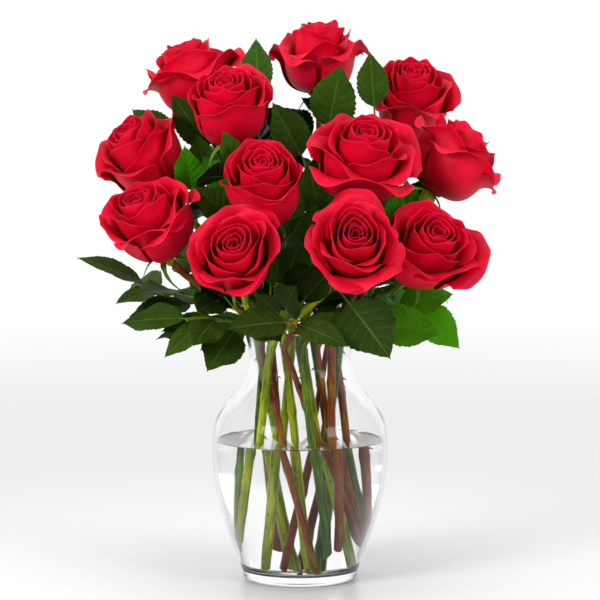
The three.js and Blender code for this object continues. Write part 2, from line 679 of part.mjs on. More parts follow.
growAllLeaves();
add("vase", vaseSolid(), "glass");
add("water", waterSolid(), "water");
PLANTS.forEach((plant) => {
  const look = plant.kind === "rose" ? "rose_green" : "salal_green";
  add(plant.name, plantSolid(plant), look);
});
ROSES.forEach((rose, i) => {
  const mesh = add(`bloom_${String(i + 1).padStart(2, "0")}`, bloomSolid(rose), "petal");
  placeBloom(mesh, rose);
});

export default bouquet;
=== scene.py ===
# The looks of a dozen red roses with salal greenery in a clear glass vase part-filled with water.
# Lengths are in millimetres, in the part's own frame, and become metres where a mesh is made.
import functools
import math

import bpy
import numpy as np
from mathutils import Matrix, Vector
from mathutils.kdtree import KDTree


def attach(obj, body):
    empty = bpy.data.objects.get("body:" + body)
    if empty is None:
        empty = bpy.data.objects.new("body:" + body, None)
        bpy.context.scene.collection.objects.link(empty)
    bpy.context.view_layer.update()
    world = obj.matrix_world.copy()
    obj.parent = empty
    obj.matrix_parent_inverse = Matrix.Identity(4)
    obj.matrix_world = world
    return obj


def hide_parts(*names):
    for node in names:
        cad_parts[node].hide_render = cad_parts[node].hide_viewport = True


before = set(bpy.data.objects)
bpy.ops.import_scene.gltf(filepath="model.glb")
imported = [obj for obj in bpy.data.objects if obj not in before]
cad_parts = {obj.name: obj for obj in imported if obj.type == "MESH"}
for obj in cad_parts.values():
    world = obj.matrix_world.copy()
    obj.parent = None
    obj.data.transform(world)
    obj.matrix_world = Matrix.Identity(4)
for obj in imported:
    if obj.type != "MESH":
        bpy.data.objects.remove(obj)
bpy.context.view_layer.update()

MM = 0.001
GOLDEN_ANGLE = 2.39996

# The vase: outer radius at each height.
VASE_OUTLINE = [
    (42, 0), (46, 5), (54, 27), (63, 53), (69, 82), (70.4, 106), (67.5, 129),
    (57, 145), (44.5, 162), (41, 179), (44.5, 200),
]
VASE_HEIGHT = 200
VASE_WALL = 3
VASE_FLOOR = 8
VASE_SIDES = 128
# radius and rounding of the underside's edge and of the lip
HEEL_RADIUS, HEEL_ROUND = 42, 4
LIP_RADIUS, LIP_ROUND = 43.2, 1.5
# the hollow in the underside
PUNT = [(0, 0.9), (36, 0.6), (39, 0)]
WATER_LEVEL = 112
WATER_GAP = 0.15
# how far the water's rim stands above its level at each distance from the glass
MENISCUS = [(0, 1), (0.7, 0.5), (2.2, 0.1), (5, 0)]

# The stems stand in two rings at the neck. Below it they run straight and cross on the way: each stands
# on the first place of the floor, or by the wall, from which it keeps clear of the stems already there.
NECK_HEIGHT = 186
RINGS = {
    "outer": dict(radius=33, slots=16, start=-0.75),
    "inner": dict(radius=13, slots=4.5, start=2.1),
}
FOOT_REACH = 46
# a foot further out than this rests higher, by the wall
FLOOR_REACH = 35
FOOT_STEP = 4
FOOT_RISE = 1.7
FOOT_TRIES = 600
MOST_LEAN = 1.6
LEAST_LEAN = 0.1
STEM_GAP = 1.2

# The twelve roses: centre of the head, the way it faces, size, how far it has opened, ring, slot and turn.
ROSES = [
    ((-90, 75, 406), (-0.28, -0.1, 0.95), 1.0, 0.95, "outer", 5, 0.4),
    ((-56, 0, 379), (-0.06, -0.55, 0.84), 0.98, 0.45, "inner", 0, 1.1),
    ((16, 72, 421), (0.0, -0.1, 1.0), 1.02, 1.0, "outer", 3, 2.0),
    ((92.5, 62, 386), (0.1, -0.5, 0.86), 1.04, 0.7, "outer", 1, 3.1),
    ((49, -45, 338), (0.22, -0.6, 0.76), 1.1, 1.0, "inner", 2, 0.9),
    ((123, 8, 337), (0.58, 0.08, 0.8), 1.02, 0.8, "outer", 0, 5.1),
    ((-127, 22, 339), (-0.5, -0.38, 0.78), 1.06, 0.6, "outer", 6, 2.4),
    ((-28, -50, 319), (-0.1, -0.66, 0.74), 1.0, 0.4, "inner", 1, 4.2),
    ((-118, -38, 289), (-0.36, -0.52, 0.78), 1.02, 0.75, "outer", 8, 5.6),
    ((-49, -92, 265), (-0.08, -0.84, 0.54), 0.99, 0.75, "outer", 10, 1.7),
    ((41, -98, 274), (0.02, -0.86, 0.5), 0.98, 1.0, "outer", 12, 3.8),
    ((98.5, -60, 268), (0.26, -0.74, 0.6), 1.02, 0.85, "outer", 14, 0.2),
]
HALF_HEAD = 31
HEAD_REACH = 68
ROSE_STEM_RADIUS = 3.2
# radius of the hip at each height from the receptacle
HIP_OUTLINE = [(3.0, -12), (3.9, -9.5), (5.4, -6), (5.8, -3.2), (5.2, -1.2), (4.2, -0.35)]

# The sepals: their room, number, grid, lengths and droops.
SEPAL_REACH = 22
SEPAL_DROP = 10
SEPALS = 5
SEPAL_GRID = (16, 4)
SEPAL_LENGTHS = (24, 36)
SEPAL_DROOPS = (0.5, 2.4)

# The petals of a head of size 1, of which petal 0 is the outermost.
PETALS = 21
OUTER_PETALS = 12
OUTER_GRID = (18, 26)
INNER_GRID = (12, 22)
PETAL_ROOT = 0.04
PETAL_BELLY = 28.5
PETAL_SPAN = 26.3
PETAL_LENGTH = 62
PETAL_OVERLAP = 4.6
CORE_OUTLINE = [(0, 0.2), (8, 0.2), (11, 4), (9, 14), (3, 30), (1.2, 47), (0, 48)]

# The salal sprigs: where each one ends, the way its end points, and its slot.
SPRIGS = [
    ((-118, 8, 234), (-0.95, 0.0, 0.1), 7),
    ((-88, -60, 214), (-0.75, -0.6, -0.1), 9),
    ((-4, -86, 214), (-0.1, -0.95, 0.0), 11),
    ((62, -70, 216), (0.6, -0.75, -0.1), 13),
    ((98, -18, 228), (0.9, -0.2, 0.3), 15),
    ((84, 84, 262), (0.6, 0.6, 0.4), 2),
    ((-34, 98, 258), (-0.3, 0.85, 0.4), 4),
]
SPRIG_RADIUS = 2.4
SPRIG_END_RADIUS = 1.5
SPRIG_LEAVES = 4
SPRIG_LEAF_LENGTH = 54
SPRIG_LEAF_WIDTH = 32
SPRIG_STALK = 8

# How stems grow: the slant of the cut end, the swelling at a knot and how far a stem wavers.
STEM_SIDES = 14
STEM_CUT = 5.5
KNOT_SWELL = 0.75
KNOT_LENGTH = 3.0
WAVER = 0.5

# The bark of each rose's stem, in the order of ROSES, and then of each sprig's.
BARKS = (
    "dark green brown dark green brown dark green brown green green dark "
    "dark dark brown brown brown brown brown"
).split()

# Leaves that show in plain places: plant, place on its stem, blade tip, length, width, and the way it looks
# where that isn't to the front.
TO_FRONT = (0, -1, 0.35)
PLACED_LEAVES = [
    ("rose", 11, 0.7, (70, -84, 180), 62, 46),
    ("sprig", 5, 0.75, (116, -32, 236), 46, 28, (0.3, -0.8, 0.5)),
    ("rose", 3, 0.72, (32, 0, 412), 64, 38),
    ("rose", 4, 0.6, (56, 10, 428), 48, 26),
    ("rose", 2, 0.55, (-40, 44, 440), 52, 26),
    ("rose", 3, 0.6, (-15, 20, 388), 54, 32),
    ("rose", 1, 0.6, (-134, 55, 386), 54, 32),
    ("rose", 7, 0.75, (-103, -14, 350), 48, 24),
    ("rose", 2, 0.6, (-50, -36, 366), 44, 20),
    ("rose", 6, 0.62, (92, -10, 318), 52, 30),
    ("rose", 5, 0.5, (12, -62, 304), 50, 28),
    ("rose", 2, 0.4, (-80, -50, 312), 50, 28),
    ("rose", 8, 0.35, (-2, -56, 272), 52, 34),
    ("rose", 8, 0.2, (-14, -84, 244), 52, 30),
    ("sprig", 1, 1.0, (-176, -22, 266), 62, 27, (-0.2, -0.5, 0.8)),
    ("sprig", 1, 0.8, (-124, -46, 246), 54, 30, (-0.3, -0.8, 0.5)),
    ("sprig", 1, 0.62, (-137, -36, 220), 62, 34, (-0.3, -0.6, 0.7)),
    ("sprig", 2, 0.65, (-110, -48, 206), 46, 20, (-0.4, -0.8, 0.4)),
    ("sprig", 2, 0.7, (-80, -70, 198), 48, 28),
    ("sprig", 2, 0.5, (-13, -96, 202), 50, 28, (0, -0.7, 0.7)),
    ("sprig", 3, 0.8, (38, -96, 196), 52, 24, (0, -0.7, 0.7)),
    ("sprig", 5, 0.5, (114, -36, 202), 56, 34),
]

# More leaves in plain places, grown after the first fill and closer to their neighbours.
LATE_LEAVES = [
    ("rose", 1, 0.62, (-116, 36, 382), 56, 30),
    ("rose", 7, 0.8, (-98, 22, 350), 44, 24),
    ("rose", 2, 0.6, (-84, 22, 340), 50, 26),
    ("rose", 7, 0.6, (-96, 36, 356), 50, 30),
    ("rose", 1, 0.72, (-60, 44, 372), 50, 28),
    ("sprig", 2, 0.45, (-74, -60, 180), 50, 34),
    ("sprig", 2, 0.8, (-106, -70, 186), 42, 18),
    ("sprig", 5, 0.9, (120, -30, 196), 50, 30),
    ("sprig", 1, 0.9, (-150, -24, 244), 56, 26, (-0.2, -0.6, 0.7)),
    ("rose", 9, 0.5, (-92, -56, 232), 50, 28),
    ("rose", 5, 0.7, (22, -30, 352), 46, 26),
    ("rose", 4, 0.7, (70, 24, 372), 48, 26),
    ("rose", 12, 0.6, (76, -58, 308), 46, 26),
    ("rose", 6, 0.7, (84, 0, 330), 46, 28),
    ("rose", 3, 0.45, (6, 24, 336), 50, 30),
    ("rose", 2, 0.45, (0, 12, 318), 46, 28),
    ("rose", 8, 0.6, (4, -14, 296), 42, 26),
    ("rose", 3, 0.6, (26, 30, 372), 50, 28),
    ("rose", 8, 0.55, (-64, -36, 268), 44, 26),
    ("sprig", 2, 0.6, (-88, -54, 226), 48, 28),
    ("sprig", 3, 0.7, (-40, -84, 222), 44, 24),
    ("rose", 12, 0.5, (96, -56, 230), 48, 28),
    ("sprig", 6, 0.5, (84, 40, 212), 54, 36),
    ("sprig", 6, 0.35, (44, 44, 204), 46, 32),
    ("sprig", 7, 0.6, (22, 60, 244), 54, 34),
    ("sprig", 7, 0.35, (-10, 54, 196), 46, 32),
    ("sprig", 1, 0.35, (-70, 30, 190), 50, 34),
    ("rose", 10, 0.5, (-66, -30, 206), 46, 28),
]
LATE_SPARE = 0.5

# Foliage that fills the bouquet all round: leaf tips spread over a shell, then more on shells inside it.
FILL = dict(tips=70, middle=(0, 8, 292), reach=(108, 92, 100), top=0.96, bottom=-0.7)
MORE_FILL = [
    dict(tips=110, middle=(0, 14, 294), reach=(102, 92, 96), top=0.97, bottom=-0.8),
    dict(tips=80, middle=(0, 8, 286), reach=(76, 68, 80), top=0.92, bottom=-0.75),
]
FILL_LENGTH = 58
FILL_WIDTH = 35
STALK = 14
STALK_WIDTH = 1.8
BEND = 0.1
LEAF_GRID = (40, 10)
ROSE_TEETH = 13
SALAL_TEETH = 24
TOOTH_DEPTH = 0.1
SWELL = 0.028

# How bright the leaves of some plants are, from 0 for old and dark to 1 for young and bright.
LEAF_SHADES = {
    "rose_stem_02": (0.4, 0.9),
    "rose_stem_04": (0.3, 0.8),
    "rose_stem_06": (0.8, 1.0),
    "rose_stem_07": (0.4, 0.9),
    "rose_stem_12": (0.8, 1.0),
    "salal_sprig_1": (0.3, 0.75),
    "salal_sprig_5": (0.8, 1.0),
    "salal_sprig_6": (0.3, 1.0),
    "salal_sprig_7": (0.2, 1.0),
}
USUAL_SHADES = (0, 0.65)

# Clearances kept by the rule that finds a leaf its place.
SAMPLE_STEP = 5
CLEAR_OF_BLADES = 5.5
CLEAR_OF_STEMS = 6
CLEAR_OF_BLOOMS = 2.5
CLEAR_OF_GLASS = 3
TRIES = 40
TRY_STEP = 3.2

# Camera and studio, in metres, degrees and watts: how bright the room in front is, and the soft panels.
CAMERA_PLACE = (0, -1.8, 0.36)
CAMERA_DIP = 4.29
CAMERA_LENS = 134.9
FLOOR_SIZE = 6
ROOM_LIGHT = 0.34
WHITE = (1, 1, 1)
PANEL_AIM = (0, 0, 0.28)
PANELS = [
    ("left", (-1.5, -1.5, 1.1), 0.9, 36),
    ("right", (1.6, -1.4, 0.9), 0.9, 20),
    ("top", (0.0, -0.2, 1.9), 1.0, 9),
]


def vec(*p):
    return np.array(p, dtype=float)


def unit(a):
    return a / math.sqrt(a @ a)


def mix(a, b, t):
    return a + (b - a) * t


def smooth(x, low, high):
    t = np.clip((x - low) / (high - low), 0, 1)
    return t * t * (3 - 2 * t)


def bell(x, width):
    return np.exp(-((x / width) ** 2))


# Camera, floor and light


def put(name, data):
    """A new object in the scene."""
    thing = bpy.data.objects.new(name, data)
    bpy.context.scene.collection.objects.link(thing)
    return thing


def make_camera():
    camera = put("camera", bpy.data.cameras.new("camera"))
    camera.data.sensor_width = 36
    camera.data.lens = CAMERA_LENS
    camera.data.clip_end = 50
    camera.location = CAMERA_PLACE
    camera.rotation_euler = (math.radians(90 - CAMERA_DIP), 0, 0)
    bpy.context.scene.camera = camera


def make_floor():
    mesh = bpy.data.meshes.new("floor")
    corners = [(x * FLOOR_SIZE, y * FLOOR_SIZE, 0) for x, y in ((-1, -1), (1, -1), (1, 1), (-1, 1))]
    mesh.from_pydata(corners, [], [(0, 1, 2, 3)])
    floor = put("floor", mesh)
    r = Recipe("floor")
    r.set(Base_Color=(0.86, 0.87, 0.885), Roughness=0.3)
    # away from the vase the floor brightens into the white backdrop
    length = r.add("VectorMath", Vector=r.place())
    length.operation = "LENGTH"
    away = length.outputs["Value"]
    glow = r.add("Emission", Color=r.blend(r.ramp(away, 0.9, 2.6), (0.85, 0.85, 0.855), WHITE))
    both = r.add("MixShader", Fac=r.ramp(away, 0.08, 0.8))
    r.links.new(r.shader.outputs["BSDF"], both.inputs[1])
    r.links.new(glow.outputs["Emission"], both.inputs[2])
    r.links.new(both.outputs["Shader"], r.nodes["Material Output"].inputs["Surface"])
    mesh.materials.append(r.material)


def make_light():
    """A white backdrop behind the bouquet, a dimmer room in front of it, and three soft panels."""
    scene = bpy.context.scene
    scene.view_settings.view_transform = "Standard"
    world = bpy.data.worlds.new("studio")
    world.use_nodes = True
    nodes, links = world.node_tree.nodes, world.node_tree.links
    split = nodes.new("ShaderNodeSeparateXYZ")
    links.new(nodes.new("ShaderNodeTexCoord").outputs["Generated"], split.inputs["Vector"])
    fade = nodes.new("ShaderNodeMapRange")
    fade.interpolation_type = "SMOOTHSTEP"
    for socket, value in [("From Min", -0.3), ("From Max", 0.7), ("To Min", ROOM_LIGHT), ("To Max", 1.0)]:
        fade.inputs[socket].default_value = value
    links.new(split.outputs["Y"], fade.inputs["Value"])
    links.new(fade.outputs["Result"], nodes["Background"].inputs["Strength"])
    nodes["Background"].inputs["Color"].default_value = (*WHITE, 1)
    scene.world = world
    for name, place, size, watts in PANELS:
        lamp = bpy.data.lights.new(name, "AREA")
        lamp.shape = "RECTANGLE"
        lamp.size = size
        lamp.size_y = size * 0.8
        lamp.energy = watts
        holder = put(name, lamp)
        holder.location = place
        aim = Vector(PANEL_AIM) - Vector(place)
        holder.rotation_euler = aim.to_track_quat("-Z", "Y").to_euler()


# Materials

# The dark, light, bright and vein colours of each leaf, its roughness, its wax coat and its quilting.
LEAF_COLOURS = {
    "rose_leaf": (
        (0.003, 0.01, 0.0005), (0.014, 0.06, 0.0003), (0.045, 0.27, 0.0003), (0.04, 0.12, 0.003),
        0.3, 0.08, 0.4,
    ),
    "rose_leaf_under": (
        (0.02, 0.045, 0.006), (0.05, 0.13, 0.008), (0.05, 0.3, 0.001), (0.1, 0.2, 0.02), 0.55, 0.0, 0.4,
    ),
    "salal_leaf": (
        (0.004, 0.009, 0.0005), (0.018, 0.055, 0.0003), (0.045, 0.24, 0.0003), (0.05, 0.1, 0.003),
        0.25, 0.1, 0.22,
    ),
    "salal_leaf_under": (
        (0.022, 0.045, 0.005), (0.055, 0.13, 0.008), (0.055, 0.28, 0.001), (0.12, 0.2, 0.03), 0.5, 0.0, 0.25,
    ),
    "sepal": ((0.06, 0.15, 0.01), (0.18, 0.3, 0.02), (0.25, 0.36, 0.04), (0.2, 0.32, 0.04), 0.5, 0.0, 0.4),
}

# The two colours of each bark, and of a cut end.
BARK_COLOURS = {
    "stem_green": ((0.34, 0.52, 0.001), (0.72, 0.7, 0.01)),
    "stem_dark": ((0.06, 0.17, 0.006), (0.3, 0.46, 0.01)),
    "stem_brown": ((0.32, 0.04, 0.006), (0.48, 0.22, 0.004)),
    "stem_cut": ((0.5, 0.55, 0.2), (0.6, 0.55, 0.25)),
}
BARK_SPOTS = (0.12, 0.04, 0.01)
# A petal's colour; its darker colour, painted shade at the root and random darker tone in patches; and its
# rim colour, a painted highlight at the rim and lighter tone in streaks.
PETAL_COLOURS = ((0.71, 0.0005, 0.024), (0.31, 0.0005, 0.008), (0.82, 0.012, 0.065))


class Recipe:
    """A material under construction: small helpers that add one node each and return its output."""

    def __init__(self, name):
        self.material = bpy.data.materials.new(name)
        self.material.use_nodes = True
        tree = self.material.node_tree
        self.nodes, self.links = tree.nodes, tree.links
        self.shader = tree.nodes["Principled BSDF"]

    def feed(self, socket, value):
        if isinstance(value, tuple):
            socket.default_value = (*value[:3], 1)
        elif isinstance(value, (int, float)):
            socket.default_value = value
        else:
            self.links.new(value, socket)

    def fill(self, node, values):
        for name, value in values.items():
            self.feed(node.inputs[name.replace("_", " ")], value)
        return node

    def add(self, kind, **values):
        return self.fill(self.nodes.new("ShaderNode" + kind), values)

    def set(self, **values):
        self.fill(self.shader, values)

    def part(self, attribute):
        """The three facts that a mesh carries at each of its points."""
        node = self.add("Attribute")
        node.attribute_name = attribute
        split = self.add("SeparateXYZ", Vector=node.outputs["Vector"])
        return split.outputs["X"], split.outputs["Y"], split.outputs["Z"]

    def math(self, operation, a, b=0.0):
        node = self.nodes.new("ShaderNodeMath")
        node.operation = operation
        self.feed(node.inputs[0], a)
        self.feed(node.inputs[1], b)
        return node.outputs["Value"]

    def times(self, a, b):
        return self.math("MULTIPLY", a, b)

    def vector(self, x, y, z):
        return self.add("CombineXYZ", X=x, Y=y, Z=z).outputs["Vector"]

    def place(self):
        return self.add("TexCoord").outputs["Object"]

    def noise(self, vector, scale, detail=2.0):
        return self.add("TexNoise", Vector=vector, Scale=scale, Detail=detail).outputs["Fac"]

    def ramp(self, value, low, high):
        node = self.add("MapRange", Value=value, From_Min=low, From_Max=high)
        node.interpolation_type = "SMOOTHSTEP"
        return node.outputs["Result"]

    def blend(self, share, a, b):
        node = self.nodes.new("ShaderNodeMix")
        node.data_type = "RGBA"
        self.feed(node.inputs["Factor"], share)
        self.feed(node.inputs[6], a)
        self.feed(node.inputs[7], b)
        return node.outputs[2]

    def bump(self, height, strength, distance):
        node = self.add("Bump", Strength=strength, Distance=distance, Height=height)
        self.links.new(node.outputs["Normal"], self.shader.inputs["Normal"])


def petal_material(name, bright, root_shade_and_deep_tone, edge):
    r = Recipe(name)
    u, v, depth = r.part("petal")
    streaks = r.noise(r.vector(r.times(u, 14.0), r.times(v, 1.6), depth), 3.0, 3.0)
    patches = r.noise(r.place(), 55.0, 2.0)
    # painted shade: each petal darkens from its middle down to its root, deep in the head
    body = r.blend(r.ramp(v, 0.05, 0.75), root_shade_and_deep_tone, bright)
    # random patches of darker tone
    body = r.blend(r.times(r.ramp(patches, 0.35, 0.75), 0.45), body, root_shade_and_deep_tone)
    body = r.blend(r.times(r.ramp(streaks, 0.45, 0.75), 0.3), body, edge)
    # painted highlight: a thin lighter band along each petal's rim
    rim = r.times(r.ramp(v, 0.955, 1.0), 0.55)
    r.set(Base_Color=r.blend(rim, body, edge), Roughness=0.5)
    r.set(Sheen_Weight=0.015, Sheen_Roughness=0.4, Specular_IOR_Level=0.12)
    r.set(Subsurface_Weight=0.05, Subsurface_Scale=0.003)
    r.shader.inputs["Subsurface Radius"].default_value = (1.0, 0.12, 0.12)
    r.bump(streaks, 0.25, 0.0004)
    return r.material


def leaf_material(name, dark, light, bright, vein, roughness, coat, quilting):
    r = Recipe(name)
    s, t, own = r.part("plant")
    reach = r.math("ABSOLUTE", t)
    fan = r.math("SUBTRACT", s, r.times(reach, 0.24))
    fan = r.math("ADD", fan, r.times(r.noise(r.place(), 60.0), 0.06))
    side_wave = r.math("ABSOLUTE", r.math("SUBTRACT", r.math("FRACT", r.times(fan, 7.0)), 0.5))
    side_vein = r.math("SUBTRACT", 1.0, r.ramp(side_wave, 0.0, 0.07))
    mid_vein = r.math("SUBTRACT", 1.0, r.ramp(reach, 0.0, 0.06))
    veins = r.math("MAXIMUM", mid_vein, r.times(side_vein, 0.35))
    mottle = r.math("SUBTRACT", r.noise(r.place(), 130.0, 3.0), 0.5)
    # most leaves are deep green and a few are bright
    share = r.math("ADD", r.times(own, 0.8), r.times(mottle, 0.6))
    body = r.blend(r.ramp(share, 0.0, 1.0), dark, light)
    body = r.blend(r.ramp(own, 0.72, 0.95), body, bright)
    r.set(Base_Color=r.blend(r.times(veins, 0.6), body, vein), Roughness=roughness)
    r.set(Coat_Weight=coat, Coat_Roughness=0.14, Specular_IOR_Level=0.05)
    quilt = r.times(r.ramp(side_wave, 0.0, 0.35), r.ramp(reach, 0.0, 0.2))
    r.bump(r.math("ADD", quilt, r.times(r.noise(r.place(), 600.0, 2.0), 0.35)), quilting, 0.0006)
    return r.material


def stem_material(name, base, other):
    """Bark in two colours, with darker streaks along it and small spots."""
    r = Recipe(name)
    along, around, own = r.part("plant")
    streak = r.noise(r.vector(r.times(along, 0.008), around, own), 6.0, 3.0)
    patch = r.noise(r.place(), 45.0, 2.0)
    body = r.blend(r.ramp(patch, 0.35, 0.75), base, other)
    body = r.blend(r.times(r.ramp(streak, 0.42, 0.6), 0.75), body, tuple(0.3 * c for c in base))
    spots = r.ramp(r.noise(r.place(), 260.0, 2.0), 0.6, 0.72)
    body = r.blend(r.times(spots, 0.6), body, BARK_SPOTS)
    r.set(Base_Color=body, Roughness=0.3, Specular_IOR_Level=0.25)
    r.bump(r.math("ADD", streak, r.noise(r.place(), 900.0, 2.0)), 0.3, 0.0004)
    return r.material


def glass_material(name, ior, tint, gleam):
    r = Recipe(name)
    r.set(Base_Color=tint, Roughness=0.0, IOR=ior, Transmission_Weight=1.0)
    r.set(Specular_Tint=(gleam, gleam, gleam))
    return r.material


def make_materials():
    looks = {"petal": petal_material("petal", *PETAL_COLOURS)}
    for name, colours in LEAF_COLOURS.items():
        looks[name] = leaf_material(name, *colours)
    for name, colours in BARK_COLOURS.items():
        looks[name] = stem_material(name, *colours)
    looks["glass"] = glass_material("glass", 1.5, WHITE, 0.18)
    looks["water"] = glass_material("water", 1.333, (0.99, 1, 0.995), 0.45)
    return looks


# Meshes


class Shape:
    """Collects closed solids into one mesh, with a material for each face and one vector for each point."""

    def __init__(self, name, attribute):
        self.name = name
        self.attribute = attribute
        self.points, self.facts = [], []
        self.faces, self.looks = [], []
        self.materials = []
        self.count = 0

    def look(self, material):
        if material not in self.materials:
            self.materials.append(material)
        return self.materials.index(material)

    def add(self, points, facts, faces, looks):
        self.points.append(points)
        self.facts.append(facts)
        self.faces.extend(tuple(i + self.count for i in face) for face in faces)
        self.looks.extend(looks)
        self.count += len(points)

    def blade(self, grid, facts, thickness, upper, under):
        """A thin closed blade over a grid of points, as thick as given at each of them."""
        rows, columns = grid.shape[:2]
        normal = np.cross(np.gradient(grid, axis=0), np.gradient(grid, axis=1))
        normal /= np.maximum(np.linalg.norm(normal, axis=2, keepdims=True), 1e-9)
        half = 0.5 * thickness[..., None] * normal
        points = np.concatenate([(grid + half).reshape(-1, 3), (grid - half).reshape(-1, 3)])
        index = np.arange(rows * columns).reshape(rows, columns)
        far = rows * columns
        a, b = index[:-1, :-1].ravel(), index[1:, :-1].ravel()
        c, d = index[1:, 1:].ravel(), index[:-1, 1:].ravel()
        top = list(zip(a, b, c, d))
        bottom = list(zip(d + far, c + far, b + far, a + far))
        ring = [*index[0, :-1], *index[:-1, -1], *index[-1, :0:-1], *index[:0:-1, 0]]
        wall = [(p, q, q + far, p + far) for p, q in zip(ring, ring[1:] + ring[:1])]
        looks = [self.look(upper)] * len(top) + [self.look(under)] * (len(bottom) + len(wall))
        self.add(points, np.tile(facts.reshape(-1, 3), (2, 1)), top + bottom + wall, looks)

    def tube(self, path, radii, sides, material, end_material=None, own=0.0, cut=0.0):
        """A closed round tube along a path, whose first end may be cut at a slant, as high as cut."""
        frames = carried_frames(path)
        angles = 2 * math.pi * np.arange(sides) / sides
        ring = np.stack([np.cos(angles), np.sin(angles)])
        points, facts = [], []
        for centre, (across, other), radius, length in zip(path, frames, radii, lengths_along(path)):
            points.append(centre + radius * (ring[0][:, None] * across + ring[1][:, None] * other))
            facts.append(np.stack([np.full(sides, length), ring[0], np.full(sides, own)], axis=1))
        slant = 0.5 * cut * (1 + np.cos(angles - own))
        points[0] = points[0] + slant[:, None] * unit(path[1] - path[0])
        faces = side_faces(len(path), sides)
        last = (len(path) - 1) * sides
        ends = [tuple(range(sides))[::-1], tuple(last + k for k in range(sides))]
        side = self.look(material)
        looks = [side] * len(faces) + [self.look(end_material or material), side]
        self.add(np.concatenate(points), np.concatenate(facts), faces + ends, looks)

    def lathe(self, profile, sides, material):
        """A closed solid of revolution about Z, whose profile starts and ends on the axis."""
        angles = 2 * math.pi * np.arange(sides) / sides
        inner = np.array(profile[1:-1], dtype=float)
        around = np.stack([np.cos(angles), np.sin(angles)], axis=1)
        points = [np.column_stack([r * around, np.full(sides, z)]) for r, z in inner]
        ends = np.array([[0, 0, profile[0][1]], [0, 0, profile[-1][1]]], dtype=float)
        points = np.concatenate([*points, ends])
        faces = side_faces(len(inner), sides)
        first, last = len(points) - 2, len(points) - 1
        top = (len(inner) - 1) * sides
        for k in range(sides):
            faces.append((first, (k + 1) % sides, k))
            faces.append((last, top + k, top + (k + 1) % sides))
        self.add(points, points.copy(), faces, [self.look(material)] * len(faces))

    def finish(self, node, sharp=45, turn=None, move=None):
        """Makes the object, which stands for a CAD node and rides on the body."""
        points = np.concatenate(self.points)
        if turn is not None:
            points = points @ np.array(turn).T + move
        mesh = bpy.data.meshes.new(self.name)
        mesh.from_pydata((points * MM).tolist(), [], self.faces)
        for name in self.materials:
            mesh.materials.append(LOOKS[name])
        mesh.polygons.foreach_set("material_index", np.array(self.looks, dtype=np.int32))
        attribute = mesh.attributes.new(self.attribute, "FLOAT_VECTOR", "POINT")
        attribute.data.foreach_set("vector", np.concatenate(self.facts).astype(np.float32).ravel())
        mesh.shade_smooth()
        mesh.set_sharp_from_angle(angle=math.radians(sharp))
        piece = put(self.name, mesh)
        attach(piece, "root")
        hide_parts(node)


def side_faces(rings, sides):
    """The faces between rings of points that follow each other."""
    faces = []
    for start in range(0, (rings - 1) * sides, sides):
        for k in range(sides):
            a, b = start + k, start + (k + 1) % sides
            faces.append((a, b, b + sides, a + sides))
    return faces


def lengths_along(path):
    """The length of a path up to each of its points."""
    return np.concatenate([[0], np.cumsum(np.linalg.norm(np.diff(path, axis=0), axis=1))])


def net(rows, columns):
    """Places over a leaf or sepal: s from base to tip, and t from edge to edge."""
    s = np.linspace(0, 1, rows + 1)[:, None] + np.zeros((1, columns + 1))
    t = np.linspace(-1, 1, columns + 1)[None, :] + np.zeros((rows + 1, 1))
    return s, t


def carried_frames(path):
    """Two directions square to a path at each of its points, carried along it without twist."""
    frames = []
    across = None
    for i in range(len(path)):
        along = unit(path[min(i + 1, len(path) - 1)] - path[max(i - 1, 0)])
        if across is None:
            across = vec(0, 0, 1) if abs(along[2]) < 0.9 else vec(1, 0, 0)
        across = unit(across - along * (across @ along))
        frames.append((across, np.cross(along, across)))
    return frames


# Blooms


